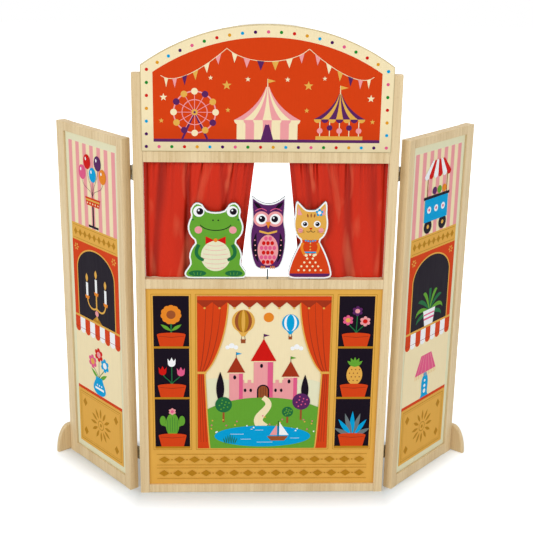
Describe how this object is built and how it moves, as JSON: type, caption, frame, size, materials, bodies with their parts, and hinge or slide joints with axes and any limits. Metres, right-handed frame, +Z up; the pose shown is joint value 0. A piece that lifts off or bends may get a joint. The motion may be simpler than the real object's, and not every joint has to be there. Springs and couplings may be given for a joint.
{
  "type": "puppet theater stand",
  "caption": "Folding wooden puppet theatre: framed centre panel with arched header, curtained stage opening, stick puppets, and two hinged picture wings on feet.",
  "frame": {"origin": "on the floor under the middle of the centre panel, at mid thickness", "axes": "+X to the right seen by the audience, +Y to the back where the puppeteer sits, +Z up"},
  "size_m": [0.7983, 0.1901, 0.839],
  "materials": {
    "wood": "clear satin varnish on pale planed timber, rounded arrises",
    "stick_wood": "plain birch dowel, the curtain rod",
    "stick_paint": "thin dowel, painted grey-green, satin",
    "header_print": "printed board, orange-red field in a cream border with dots, satin",
    "picture_print": null,
    "puppet_print": "printed board with a white outline, satin",
    "curtain_cloth": "red satin-weave cloth, gathered",
    "hinge_metal": "yellow-plated steel",
    "screw_metal": "zinc-plated steel"
  },
  "bodies": {
    "centre_panel": {"centre_left_stile": "wood", "centre_right_stile": "wood", "centre_bottom_rail": "wood", "centre_sill_rail": "wood", "centre_top_rail": "wood", "header_board": "header_print", "lower_picture_board": "picture_print", "curtain_rod": "stick_wood", "left_lower_hinge_centre_leaf": "hinge_metal", "left_lower_hinge_pin": "screw_metal", "left_upper_hinge_centre_leaf": "hinge_metal", "left_upper_hinge_pin": "screw_metal", "left_centre_hinge_screw_1": "screw_metal", "left_centre_hinge_screw_2": "screw_metal", "left_centre_hinge_screw_3": "screw_metal", "left_centre_hinge_screw_4": "screw_metal", "right_lower_hinge_centre_leaf": "hinge_metal", "right_lower_hinge_pin": "screw_metal", "right_upper_hinge_centre_leaf": "hinge_metal", "right_upper_hinge_pin": "screw_metal", "right_centre_hinge_screw_1": "screw_metal", "right_centre_hinge_screw_2": "screw_metal", "right_centre_hinge_screw_3": "screw_metal", "right_centre_hinge_screw_4": "screw_metal"},
    "left_wing": {"left_wing_hinge_stile": "wood", "left_wing_outer_stile": "wood", "left_wing_bottom_rail": "wood", "left_wing_top_rail": "wood", "left_wing_picture_board": "picture_print", "left_lower_hinge_wing_leaf": "hinge_metal", "left_upper_hinge_wing_leaf": "hinge_metal", "left_foot": "wood", "left_wing_hinge_screw_1": "screw_metal", "left_wing_hinge_screw_2": "screw_metal", "left_wing_hinge_screw_3": "screw_metal", "left_wing_hinge_screw_4": "screw_metal", "left_foot_screw_1": "screw_metal", "left_foot_screw_2": "screw_metal"},
    "right_wing": {"right_wing_hinge_stile": "wood", "right_wing_outer_stile": "wood", "right_wing_bottom_rail": "wood", "right_wing_top_rail": "wood", "right_wing_picture_board": "picture_print", "right_lower_hinge_wing_leaf": "hinge_metal", "right_upper_hinge_wing_leaf": "hinge_metal", "right_foot": "wood", "right_wing_hinge_screw_1": "screw_metal", "right_wing_hinge_screw_2": "screw_metal", "right_wing_hinge_screw_3": "screw_metal", "right_wing_hinge_screw_4": "screw_metal", "right_foot_screw_1": "screw_metal", "right_foot_screw_2": "screw_metal"},
    "left_curtain": {"left_curtain": "curtain_cloth"},
    "right_curtain": {"right_curtain": "curtain_cloth"},
    "frog_puppet": {"frog_puppet": "puppet_print", "frog_stick": "stick_paint"},
    "owl_puppet": {"owl_puppet": "puppet_print", "owl_stick": "stick_paint"},
    "cat_puppet": {"cat_puppet": "puppet_print", "cat_stick": "stick_paint"}
  },
  "joints": [
    {"name": "left_wing_fold", "type": "hinge", "parent": "centre_panel", "child": "left_wing", "pos_m": [-0.2215, 0.0125, 0.3], "axis": [0, 0, -1], "range_deg": [-51.1, 128.9]},
    {"name": "right_wing_fold", "type": "hinge", "parent": "centre_panel", "child": "right_wing", "pos_m": [0.2215, 0.0125, 0.3], "axis": [0, 0, 1], "range_deg": [-47.4, 132.6]},
    {"name": "left_curtain_draw", "type": "slide", "parent": "centre_panel", "child": "left_curtain", "axis": [1, 0, 0], "range_m": [-0.095, 0.0185], "deforming": ["left_curtain"]},
    {"name": "right_curtain_draw", "type": "slide", "parent": "centre_panel", "child": "right_curtain", "axis": [1, 0, 0], "range_m": [-0.037, 0.095], "deforming": ["right_curtain"]},
    {"name": "frog_lift", "type": "slide", "parent": "centre_panel", "child": "frog_puppet", "axis": [0, 0, 1], "range_m": [0, 0.055]},
    {"name": "owl_lift", "type": "slide", "parent": "centre_panel", "child": "owl_puppet", "axis": [0, 0, 1], "range_m": [0, 0.055]},
    {"name": "cat_lift", "type": "slide", "parent": "centre_panel", "child": "cat_puppet", "axis": [0, 0, 1], "range_m": [0, 0.055]}
  ]
}
